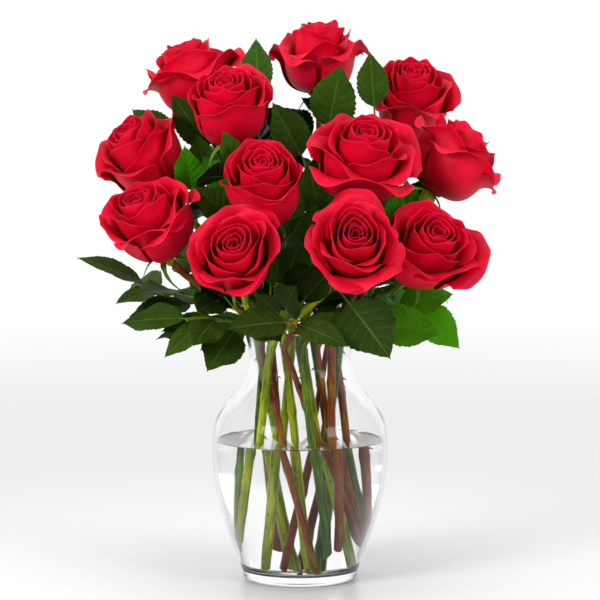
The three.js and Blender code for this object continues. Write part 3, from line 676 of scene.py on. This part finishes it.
def petal_grid(rose, petal, rows, columns, chance):
    """Points of a petal's middle surface, with (u, v, depth) at each."""
    draw = chance.random
    f = 1 - petal / PETALS
    u = np.linspace(-1, 1, columns + 1)[None, :]
    v = mix(PETAL_ROOT, 1, np.linspace(0, 1, rows + 1)[:, None] ** 0.9)
    wide = np.abs(u)
    outer = smooth(f, 0.35, 0.8)
    belly = (PETAL_BELLY - PETAL_SPAN * (1 - f) ** 0.92) * mix(1.0, mix(0.97, 1.04, draw()), outer)
    flare = rose["open"] * smooth(f, 0.45, 1) * mix(0.65, 1.3, draw())
    rim = belly * mix(0.62, 1.0, smooth(f, 0, 0.6)) + 4 * flare
    height = 55 + 7 * math.sin(math.pi * min(1, f / 0.85)) - 8 * flare
    height += mix(1.2, 3, outer) * (draw() - 0.5)
    root = min(7, 0.9 * belly)
    low, high = (belly * 1.15, mix(19, 0.8, f)), (belly * 1.12, 0.62 * height)
    side = [(root, mix(19, 1.6, f)), low, high, (rim, height)]
    # inner petals wrap far round with level rims; outer ones are broad, with a point and lower corners
    lean = 0.25 * (draw() - 0.5) * outer
    point = mix(0.01, 0.045, outer) * bell(u - lean, 0.16)
    corner = mix(0.0, 0.045, outer) * u * u + mix(0.05, 0.12, outer) * wide**3.4 - point + 0.045
    w = np.clip(v * (1 - corner), 0, 1)
    bezier = [(1 - w) ** 3, 3 * w * (1 - w) ** 2, 3 * w * w * (1 - w), w**3]
    radius = sum(b * r for b, (r, _) in zip(bezier, side))
    up = sum(b * h for b, (_, h) in zip(bezier, side))
    # the rim rolls outwards, most where its two shoulders fold back
    shoulders = 0.55 + 0.75 * bell(wide - 0.6, 0.25)
    roll = (mix(0.12, 0.4, outer) + (1.5 + 0.6 * draw()) * flare) * shoulders
    length = mix(4, 16, min(1.0, flare + 0.1))
    start = 1 - length / PETAL_LENGTH
    curl = np.clip((v - start) / (1 - start), 0, 1)
    bow = roll * curl
    rolled = length / np.maximum(roll, 1e-3)
    radius = radius + rolled * (1 - np.cos(bow))
    up = up + (rolled * np.sin(bow) - length * curl) * smooth(curl, 0, 0.2)
    pinch = bell(u - lean, 0.12) * smooth(v, 0.86, 1)
    radius = radius + mix(0.2, 1.3, outer) * pinch
    spread = np.sin(0.5 * math.pi * np.minimum(1, v / 0.6))
    reach = mix(2.1, 1.12, smooth(f, 0.05, 0.75)) * mix(0.4, 1, spread)
    radius = radius + PETAL_OVERLAP / PETALS * u * reach * smooth(v, 0, 0.4)
    ripple = np.sin(u * reach * mix(2.4, 4.2, draw()) + 6 * draw())
    radius = radius + mix(0.3, 0.8, outer) * ripple * smooth(v, 0.45, 1)
    nod = np.sin(u * mix(5, 9, draw()) + 6 * draw())
    up = up + mix(0.9, 0.7, outer) * nod * smooth(v, 0.7, 1)
    angle = rose["turn"] - petal * GOLDEN_ANGLE + u * reach
    # no head is quite round, and its middle leans to one side
    turn = rose["turn"]
    radius = radius * (1 + 0.07 * np.cos(2 * angle - turn) + 0.05 * np.cos(3 * angle + 2 * turn))
    off = 2.6 * (1 - f) * smooth(up, 25, 55)
    x = radius * np.cos(angle) + off * math.cos(3 * turn)
    y = radius * np.sin(angle) + off * math.sin(3 * turn)
    grid = np.stack([x, y, up + 0 * angle], axis=2)
    facts = np.stack([u + 0 * v, v + 0 * u, np.full(grid.shape[:2], 10 * f)], axis=2)
    return grid * rose["size"], facts


def make_bloom(rose, number):
    chance = np.random.RandomState(100 + number)
    shape = Shape(f"rose_head_{number:02d}", "petal")
    for petal in range(PETALS):
        size = OUTER_GRID if petal < OUTER_PETALS else INNER_GRID
        grid, facts = petal_grid(rose, petal, *size, chance)
        thickness = 0.5 - 0.25 * smooth(facts[..., 1], 0.7, 1)
        shape.blade(grid[:, ::-1], facts[:, ::-1], thickness, "petal", "petal")
    scale = rose["size"]
    shape.lathe([(r * scale, h * scale) for r, h in CORE_OUTLINE], 24, "petal")
    turn = Vector((0, 0, 1)).rotation_difference(Vector(rose["face"])).to_matrix()
    shape.finish(f"bloom_{number:02d}", 50, turn, rose["tip"])


# Stems


def polar(radius, angle, z):
    return vec(radius * math.cos(angle), radius * math.sin(angle), z)


def upper_point(plant, t):
    """A plant's path above the neck: it leaves as it came up the vase and arrives the way its end faces."""
    t2, t3 = t * t, t * t * t
    return (
        plant["neck"] * (2 * t3 - 3 * t2 + 1) + plant["leave"] * (t3 - 2 * t2 + t)
        + plant["tip"] * (3 * t2 - 2 * t3) + plant["arrive"] * (t3 - t2)
    )


def stem_points(plant):
    """The plain path that the CAD stem follows; it sets the way in which the stem leaves the vase."""
    reach = math.dist(plant["tip"], plant["neck"])
    plant["leave"] = unit(plant["neck"] - plant["foot"]) * reach * 0.7
    plant["arrive"] = plant["face"] * reach * 0.9
    low = plant["foot"] + (plant["neck"] - plant["foot"]) * 1.35 / (NECK_HEIGHT - VASE_FLOOR)
    steps = 6 if plant["kind"] == "rose" else 5
    return np.array([low] + [upper_point(plant, i / steps) for i in range(steps + 1)])


def segments(paths):
    """The start and the run of every segment of some paths."""
    starts = np.concatenate([path[:-1] for path in paths])
    return starts, np.concatenate([np.diff(path, axis=0) for path in paths])


def segment_distances(points, starts, runs):
    """Distance from each point to each segment."""
    away = points[:, None, :] - starts[None]
    t = np.clip(np.einsum("ijk,jk->ij", away, runs) / np.einsum("jk,jk->j", runs, runs), 0, 1)
    gap = away - t[..., None] * runs
    return np.sqrt(np.einsum("ijk,ijk->ij", gap, gap))


def narrowest_gap(plant, standing):
    """The narrowest gap between a plant's stem and the glass or the stems that already stand."""
    points = plant["points"]
    shares = [np.arange(48) / 48] + [np.arange(8) / 8] * (len(points) - 2)
    path = np.concatenate([a + (b - a) * s[:, None] for a, b, s in zip(points, points[1:], shares)])
    low = path[path[:, 2] < VASE_HEIGHT + 2]
    inside = glass_radius(low[:, 2]) - VASE_WALL - np.hypot(low[:, 0], low[:, 1])
    least = inside.min() - plant["radius"]
    if standing:
        starts, runs = segments([other["points"] for other in standing])
        radii = np.concatenate([np.full(len(other["points"]) - 1, other["radius"]) for other in standing])
        least = min(least, (segment_distances(path, starts, runs) - radii).min() - plant["radius"])
    return least


def stand_stem(plant, order, standing):
    """Finds a stem's foot, from the steepest lean down, one way round the vase and the other in turn."""
    ring = RINGS[plant["ring"]]
    angle = plant["slot"] / ring["slots"] * 2 * math.pi + ring["start"]
    plant["neck"] = polar(ring["radius"], angle, NECK_HEIGHT)
    widest, foot = -math.inf, None
    for k in range(FOOT_TRIES):
        lean = mix(MOST_LEAN, LEAST_LEAN, k / FOOT_TRIES) * (1 if (order + k) % 2 else -1)
        away = FOOT_REACH * (1 - 0.7 * ((k * 0.56984) % 1))
        rise = FOOT_STEP + FOOT_RISE * (away - FLOOR_REACH) if away > FLOOR_REACH else 0
        plant["foot"] = polar(away, angle + lean, VASE_FLOOR + rise)
        plant["points"] = stem_points(plant)
        gap = narrowest_gap(plant, standing)
        if gap > widest:
            widest, foot = gap, plant["foot"]
        if widest >= STEM_GAP:
            break
    plant["foot"] = foot
    plant["points"] = stem_points(plant)
    standing.append(plant)


def make_plants():
    roses = []
    for i, (head, face, size, opened, ring, slot, turn) in enumerate(ROSES):
        face = unit(vec(*face))
        tip = vec(*head) - face * HALF_HEAD * size
        name = f"rose_stem_{i + 1:02d}"
        rose = dict(kind="rose", name=name, ring=ring, slot=slot, tip=tip, face=face, radius=ROSE_STEM_RADIUS)
        roses.append({**rose, "size": size, "open": opened, "turn": turn, "leaves": []})
    sprigs = []
    for i, (end, face, slot) in enumerate(SPRIGS):
        sprig = dict(kind="sprig", name=f"salal_sprig_{i + 1}", ring="outer", slot=slot, radius=SPRIG_RADIUS)
        sprigs.append({**sprig, "tip": vec(*end), "face": unit(vec(*face)), "leaves": []})
    standing = []
    for order, plant in enumerate(sprigs + roses):
        stand_stem(plant, order, standing)
    return roses + sprigs


# Leaves


def leaf_shape(s):
    return np.sin(math.pi * np.clip(s, 0, 1) ** 0.78) ** 0.85


def leaf_surface(length, width, s, t):
    """Points on a leaf's middle surface as steps along, across and up: s from base to tip, t edge to edge."""
    half = np.maximum(0.5 * STALK_WIDTH, 0.5 * width * leaf_shape(s))
    on = np.maximum(0, s)
    rise = (0.16 * np.abs(t) * half + 0.03 * width * np.sin(7 * on) * t * t) * smooth(on, 0, 0.1)
    return np.stack([length * (s - 0.5 * BEND * on * on), t * half, rise - BEND * length * on * on], axis=-1)


def place_surface(leaf, surface):
    return leaf["base"] + surface @ np.array([leaf["along"], leaf["across"], leaf["up"]])


def leaf_points(leaf, s, t):
    return place_surface(leaf, leaf_surface(leaf["length"], leaf["width"], s, t))


def shape_leaf(root, way, stalk, wanted, scale):
    along = unit(way)
    base = root + along * stalk
    outwards = unit(vec(base[0], base[1], 0))
    outwards[2] = 0.9
    light = vec(*wanted["look"]) if wanted.get("look") else outwards
    up = unit(light - along * (light @ along))
    across = cross(up, along)
    length, width = wanted["length"] * scale, wanted["width"] * scale
    return dict(base=base, along=along, up=up, across=across, stalk=stalk, length=length, width=width)


def cross(a, b):
    return vec(a[1] * b[2] - a[2] * b[1], a[2] * b[0] - a[0] * b[2], a[0] * b[1] - a[1] * b[0])


@functools.cache
def blade_samples(length, width):
    rows = math.ceil(length / SAMPLE_STEP)
    places = []
    for i in range(rows + 1):
        s = i / rows
        columns = max(1, math.ceil(width * float(leaf_shape(s)) / SAMPLE_STEP))
        places += [(s, -1.05 + 2.1 * j / columns) for j in range(columns + 1)]
    s, t = np.array(places).T
    return leaf_surface(length, width, s, t)


def leaf_parts(start, tip, wanted, leaflets):
    """The blades of one leaf whose end blade reaches tip. Three leaflets share one stalk."""
    way = tip - start
    stalk = max(6, math.sqrt(way @ way) - wanted["length"])
    end = shape_leaf(start, way, stalk, wanted, 1)
    blades = [end]
    if leaflets > 1:
        root = start + (end["base"] - start) * 0.86
        for side in (-1, 1):
            blades.append(shape_leaf(root, end["along"] * 0.45 + end["across"] * side, 3, wanted, 0.8))
    samples = [place_surface(blade, blade_samples(blade["length"], blade["width"])) for blade in blades]
    samples.append(start + np.arange(8, stalk, SAMPLE_STEP)[:, None] * end["along"])
    return dict(blades=blades, samples=np.concatenate(samples))


def glass_radius(z):
    radii, heights = np.array(VASE_OUTLINE).T
    return np.interp(z, heights, radii)


def bloom_reaches(h):
    """The radius that no petal or sepal of each rose leaves, at a height over each receptacle."""
    x = h / BLOOMS["size"]
    cup = 9 + 22 * np.sqrt(np.clip(x / 16, 0, 1))
    opened = BLOOMS["size"] * (cup + (3 + 9 * BLOOMS["open"]) * smooth(x, 22, 40))
    return np.where(x < 0, SEPAL_REACH + 2, opened)


def touches(samples, plant, spare):
    """True if any sample comes too near the glass, a bloom, another plant's stem or a leaf grown so far."""
    low = samples[:, 2] - CLEAR_OF_GLASS
    near_glass = np.hypot(samples[:, 0], samples[:, 1]) < glass_radius(low) + CLEAR_OF_GLASS + 2
    if np.any(near_glass & (low < VASE_HEIGHT)):
        return True
    offset = samples[:, None, :] - BLOOMS["tip"]
    h = np.einsum("ijk,jk->ij", offset, BLOOMS["face"])
    r = np.sqrt(np.maximum(0, np.einsum("ijk,ijk->ij", offset, offset) - h * h))
    level = (h >= -SEPAL_DROP - 4) & (h <= HEAD_REACH * BLOOMS["size"])
    if np.any(level & (r < bloom_reaches(h) + CLEAR_OF_BLOOMS * (2 * spare - 1))):
        return True
    starts, runs = OTHER_STEMS[plant["name"]]
    if np.any(segment_distances(samples, starts, runs) < CLEAR_OF_STEMS * spare):
        return True
    for sample in samples if GROWN else []:
        nearest = GROWN_TREE[0].find(sample)[1]
        if math.dist(GROWN[nearest], sample) < CLEAR_OF_BLADES * spare:
            return True
    return False


def grow_leaf(plant, wanted, spare=1.0):
    """Tries the wanted place, places round it in a widening spiral, smaller leaves and fewer leaflets."""
    start = upper_point(plant, wanted["at"])
    along = unit(wanted["tip"] - start)
    side = unit(vec(0, 1, 0) - along * along[1])
    other = cross(along, side)
    for leaflets in [3, 1] if wanted["leaflets"] > 1 else [1]:
        for scale in (1, 0.85, 0.7, 0.55)[: 3 if spare == 1 else 4]:
            sized = {**wanted, "length": wanted["length"] * scale, "width": wanted["width"] * scale}
            for k in range(TRIES):
                shift = TRY_STEP * math.sqrt(k)
                angle = k * GOLDEN_ANGLE
                tip = wanted["tip"] + side * shift * math.cos(angle) + other * shift * math.sin(angle)
                parts = leaf_parts(start, tip, sized, leaflets)
                samples = parts["samples"]
                # a few of the samples rule most places out
                if touches(samples[::9], plant, spare) or touches(samples, plant, spare):
                    continue
                GROWN.extend(samples.tolist())
                tree = KDTree(len(GROWN))
                for i, sample in enumerate(GROWN):
                    tree.insert(sample, i)
                tree.balance()
                GROWN_TREE[0] = tree
                plant["leaves"].append(parts)
                return


def carrier_of(tip, length):
    """The plant and the place on it from which a leaf of this length best reaches this tip."""
    best = (math.inf, None, 0)
    for plant in PLANTS:
        at = 0.2
        while at < 0.95:
            start = upper_point(plant, at)
            way = tip - start
            growth = unit(upper_point(plant, at + 0.05) - start)
            far = math.sqrt(way @ way)
            cost = abs(far - length - STALK) + 25 * max(0, 0.2 - growth @ (way / far))
            if cost < best[0]:
                best = (cost, plant, at)
            at += 0.1
    return best[1:]


def grow_placed_leaves(leaves, spare=1.0):
    for kind, number, at, tip, length, width, *looks in leaves:
        plant = PLANTS[number - 1 + (0 if kind == "rose" else len(ROSES))]
        look = looks[0] if looks else TO_FRONT
        grow_leaf(plant, dict(at=at, tip=vec(*tip), length=length, width=width, look=look, leaflets=1), spare)


def grow_sprig_leaves(plant):
    for i in range(SPRIG_LEAVES):
        at = 0.92 - 0.17 * i
        start = upper_point(plant, at)
        along = unit(upper_point(plant, at + 0.05) - start)
        aside = unit(cross(vec(0, 0, 1 if i % 2 else -1), along))
        tip = start + unit(along * 0.6 + aside) * (SPRIG_LEAF_LENGTH + SPRIG_STALK)
        wanted = dict(at=at, tip=tip, length=SPRIG_LEAF_LENGTH, width=SPRIG_LEAF_WIDTH, leaflets=1)
        grow_leaf(plant, wanted)


def grow_fill(fill, spare=1.0):
    for i in range(fill["tips"]):
        height = mix(fill["top"], fill["bottom"], (i + 0.5) / fill["tips"])
        tip = polar(math.sqrt(1 - height * height), i * GOLDEN_ANGLE, height)
        tip = tip * vec(*fill["reach"]) + vec(*fill["middle"])
        plant, at = carrier_of(tip, FILL_LENGTH)
        leaflets = 3 if plant["kind"] == "rose" and i % 3 == 0 else 1
        grow_leaf(plant, dict(at=at, tip=tip, length=FILL_LENGTH, width=FILL_WIDTH, leaflets=leaflets), spare)


def blade_grid(leaf, chance, teeth, shades):
    """A fine grid over a leaf, with a toothed edge, waves and a narrow tip."""
    draw = chance.random
    s, t = net(*LEAF_GRID)
    saw = (s * teeth + 0.5 * (t > 0)) % 1.0
    notch = 1 + TOOTH_DEPTH * (saw - 0.5) * np.abs(t) ** 6 * smooth(s, 0.06, 0.15) * smooth(1 - s, 0.02, 0.1)
    grid = leaf_points(leaf, s, t * notch)
    # the blade draws in to a fine point where the plain form is still as wide as a stalk
    draw_in = mix(1, 0.76, smooth(s, 0.62, 0.9)) * (1 - smooth(s, 0.9, 1.0) * 0.85)
    middle = leaf_points(leaf, s, 0 * t)
    grid = middle + (grid - middle) * draw_in[..., None]
    wave = np.sin(s * mix(9, 14, draw()) + 6 * draw()) * t * t
    wave = wave + 0.4 * np.sin(s * 17 + 2 * t + 6 * draw()) * t * t
    swell = SWELL * leaf["width"] * wave * smooth(s, 0.05, 0.3) * smooth(1 - s, 0.0, 0.2)
    grid = grid + swell[..., None] * leaf["up"]
    own = mix(*shades, draw())
    return grid, np.stack([s, t, np.full(s.shape, own)], axis=2)


def stalk_path(leaf):
    """From the stem to a little way under the blade, along its middle rib."""
    rib = leaf_points(leaf, np.array([0.0, 0.25, 0.6]), np.zeros(3))
    rib = rib - leaf["up"] * np.array([[0.1], [0.35], [0.3]])
    start = leaf["base"] - leaf["along"] * leaf["stalk"]
    return np.array([start, (start + leaf["base"]) / 2, *rib])


def add_leaf(shape, parts, chance, look, teeth, shades):
    for blade in parts["blades"]:
        grid, facts = blade_grid(blade, chance, teeth, shades)
        thickness = 0.55 - 0.2 * smooth(np.abs(facts[..., 1]), 0.6, 1)
        shape.blade(grid[:, ::-1], facts[:, ::-1], thickness, look, look + "_under")
        shape.tube(stalk_path(blade), [1.0, 0.85, 0.75, 0.55, 0.3], 8, "stem_dark", own=chance.random())


def sepal_grid(rose, index, chance):
    """One sepal: it leaves the hip flat, bends down and back, and thins to a thread."""
    draw = chance.random
    s, t = net(*SEPAL_GRID)
    length = mix(*SEPAL_LENGTHS, draw())
    droop = mix(*SEPAL_DROOPS, draw())
    angle = rose["turn"] + index * 2 * math.pi / SEPALS
    bend = droop * s
    out = 3 + length * np.sin(bend) / droop * 0.9
    drop = -1.5 - length * (1 - np.cos(bend)) / droop * 0.9
    half = mix(4.0, 0.25, s**0.7) * (1 + 0.3 * np.sin(s * 23) * smooth(s, 0.15, 0.4) * (1 - s))
    turn = angle + mix(-0.5, 0.5, draw()) * s * s
    x = out * np.cos(turn) - t * half * np.sin(turn)
    y = out * np.sin(turn) + t * half * np.cos(turn)
    z = drop + 0.25 * half * t * t
    facts = np.stack([s, t, np.full(s.shape, draw())], axis=2)
    return np.stack([x, y, z], axis=2), facts


def stem_path(plant):
    """The whole stem as a fine path, from its foot to its end."""
    low = plant["points"][0]
    straight = [low + (plant["neck"] - low) * share for share in np.linspace(0, 1, 26)[:-1]]
    end = 1 if plant["kind"] == "sprig" else 0.985
    upper = [upper_point(plant, t) for t in np.linspace(0, end, 44)]
    return np.array(straight + upper)


def add_thorns(shape, path, frames, run, radii, knots, look, chance):
    """Two small hooked prickles near each knot but the lowest, that point a little down the stem."""
    draw = chance.random
    for knot in knots[1:]:
        for _ in range(2):
            i = int(np.argmin(np.abs(run - knot - 18 * draw())))
            if not 1 <= i < len(path) - 2:
                continue
            along = unit(path[i + 1] - path[i - 1])
            across, other = frames[i]
            angle = 2 * math.pi * draw()
            out = across * math.cos(angle) + other * math.sin(angle)
            root = path[i] + out * radii[i] * 0.6
            hook = [root, root + out * 2.2 - along * 0.4, root + out * 4.2 - along * 1.8]
            shape.tube(np.array(hook), [1.3, 0.7, 0.12], 6, look)


def add_hip(shape, rose, chance):
    """The green hip under a head, with its sepals, which sag the more the head faces sideways."""
    path = np.array([rose["tip"] + rose["face"] * h for _, h in HIP_OUTLINE])
    shape.tube(path, [r for r, _ in HIP_OUTLINE], 16, "stem_green", own=chance.random())
    turn = np.array(Vector((0, 0, 1)).rotation_difference(Vector(rose["face"])).to_matrix())
    for index in range(SEPALS):
        grid, facts = sepal_grid(rose, index, chance)
        grid = grid @ turn.T + rose["tip"]
        grid[..., 2] -= mix(4, 16, chance.random()) * (1 - rose["face"][2]) * facts[..., 0] ** 2
        shape.blade(grid, facts, np.full(grid.shape[:2], 0.5), "sepal", "sepal")


def make_stems(plant, number):
    """A plant's stem with all that grows on it, but for the head."""
    chance = np.random.RandomState(500 + number)
    draw = chance.random
    is_rose = plant["kind"] == "rose"
    shape = Shape(plant["name"].replace("_", "-") + "-plant", "plant")
    path = stem_path(plant)
    run = lengths_along(path)
    share = run / run[-1]
    if is_rose:
        radii = ROSE_STEM_RADIUS * mix(1.05, 0.9, share)
    else:
        radii = mix(SPRIG_RADIUS, SPRIG_END_RADIUS, np.clip((share - 0.4) / 0.6, 0, 1) ** 2)
    knots = np.arange(mix(20, 45, draw()), run[-1] - 25, 42 + 12 * draw())
    for knot in knots:
        radii = radii + KNOT_SWELL * bell(run - knot, KNOT_LENGTH)
    # small bends between the knots, so that the stem isn't ruler-straight
    bends = WAVER * np.sin(run / 31 + 6 * draw()) * smooth(share, 0.02, 0.1)
    bends = bends * smooth(1 - share, 0.02, 0.1)
    frames = carried_frames(path)
    path = path + bends[:, None] * np.array([f[0] for f in frames])
    look = "stem_" + BARKS[number]
    shape.tube(path, radii, STEM_SIDES, look, "stem_cut", own=10 * draw(), cut=STEM_CUT)
    if is_rose:
        add_thorns(shape, path, frames, run, radii, knots, look, chance)
        add_hip(shape, plant, chance)
    leaf_look, teeth = ("rose_leaf", ROSE_TEETH) if is_rose else ("salal_leaf", SALAL_TEETH)
    shades = LEAF_SHADES.get(plant["name"], USUAL_SHADES)
    for parts in plant["leaves"]:
        add_leaf(shape, parts, chance, leaf_look, teeth, shades)
    shape.finish(plant["name"], 60)


# Vase and water


def smooth_outline(points, count):
    """A Catmull-Rom curve through the outline."""
    p = np.array([points[0], *points, points[-1]], dtype=float)
    curve = []
    for i in range(1, len(p) - 2):
        for t in np.linspace(0, 1, count, endpoint=False):
            a, b, c, d = p[i - 1], p[i], p[i + 1], p[i + 2]
            square, cube = 2 * a - 5 * b + 4 * c - d, 3 * b - a - 3 * c + d
            curve.append(0.5 * (2 * b + (c - a) * t + square * t * t + cube * t**3))
    curve.append(p[-2])
    return np.array(curve)


def inside_outline(inset):
    """The inside of the glass, from the floor's rounded corner to the lip, drawn in by inset."""
    outline = smooth_outline(VASE_OUTLINE, 6)
    high = outline[:, 1]
    wall = outline[(high > VASE_FLOOR + 9) & (high < VASE_HEIGHT - 1)] - [VASE_WALL + inset, 0]
    floor = VASE_FLOOR + inset
    height = wall[0][1] - floor
    corner = []
    for angle in np.linspace(0, math.pi / 2, 8)[:-1]:
        corner.append((wall[0][0] - 9.2 + 9 * math.sin(angle), floor + height * (1 - math.cos(angle))))
    return np.array(corner + wall.tolist())


def make_vase():
    """The glass; its mesh carries each point's own place."""
    shape = Shape("vase_glass", "place")
    outline = smooth_outline(VASE_OUTLINE[1:], 6)
    angles = np.linspace(0, 1.3, 7)
    heel = [(HEEL_RADIUS + HEEL_ROUND * math.sin(a), HEEL_ROUND * (1 - math.cos(a))) for a in angles]
    angles = np.linspace(0.1, math.pi - 0.1, 9)
    lip = [(LIP_RADIUS + LIP_ROUND * math.cos(a), VASE_HEIGHT + LIP_ROUND * math.sin(a)) for a in angles]
    profile = [*PUNT, *heel, *outline[1:-1], *lip, *inside_outline(0)[::-1], (0, VASE_FLOOR)]
    shape.lathe(profile, VASE_SIDES, "glass")
    shape.finish("vase", 80)


def make_water():
    shape = Shape("vase_water", "place")
    inside = inside_outline(WATER_GAP)
    edge = float(np.interp(WATER_LEVEL, *inside.T[::-1]))
    inside = inside[inside[:, 1] < WATER_LEVEL - 1]
    # the water climbs a little at the glass
    meniscus = [(edge - inwards, WATER_LEVEL + rise) for inwards, rise in MENISCUS]
    shape.lathe([(0, inside[0][1]), *inside, *meniscus, (0, WATER_LEVEL)], VASE_SIDES, "water")
    shape.finish("water", 40)


make_camera()
make_floor()
make_light()
LOOKS = make_materials()
PLANTS = make_plants()
ROSE_PLANTS = PLANTS[: len(ROSES)]
BLOOMS = {key: np.array([rose[key] for rose in ROSE_PLANTS]) for key in ("tip", "face", "size", "open")}
OTHER_STEMS = {
    plant["name"]: segments([other["points"] for other in PLANTS if other is not plant]) for plant in PLANTS
}
GROWN = []
GROWN_TREE = [None]
grow_placed_leaves(PLACED_LEAVES)
for sprig in PLANTS[len(ROSES) :]:
    grow_sprig_leaves(sprig)
grow_fill(FILL)
grow_placed_leaves(LATE_LEAVES, LATE_SPARE)
for fill in MORE_FILL:
    grow_fill(fill, LATE_SPARE)
make_vase()
make_water()
for index, plant in enumerate(PLANTS):
    make_stems(plant, index)
for index, rose in enumerate(ROSE_PLANTS):
    make_bloom(rose, index + 1)
